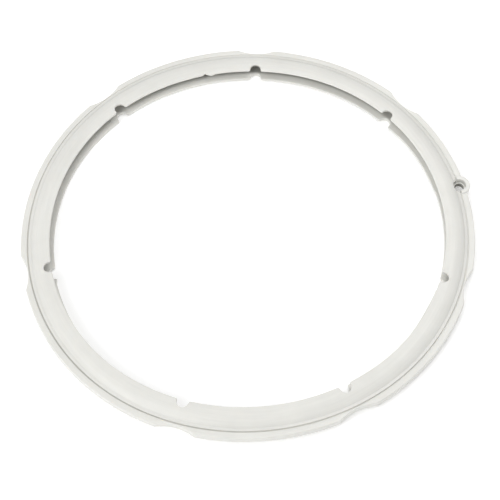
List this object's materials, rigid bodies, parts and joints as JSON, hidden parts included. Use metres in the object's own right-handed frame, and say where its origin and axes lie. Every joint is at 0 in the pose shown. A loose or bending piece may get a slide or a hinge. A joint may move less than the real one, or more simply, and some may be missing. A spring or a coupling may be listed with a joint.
{
  "type": "pressure cooker sealing ring",
  "caption": "Moulded silicone sealing ring for a stovetop pressure cooker lid, with two inward lips, a grooved and scalloped flange, vent notches and a locating lug with a stepped hole.",
  "frame": {"origin": "on the ring's axis at the level of its resting face, which is the flat face of the lower side", "axes": "+Z along the ring's axis, up out of the crowned upper lip; +X through the locating lug"},
  "size_m": [0.2423, 0.24, 0.0093],
  "materials": {
    "silicone": "matt off-white silicone"
  },
  "bodies": {
    "root": {"sealing_ring": "silicone"}
  },
  "joints": []
}
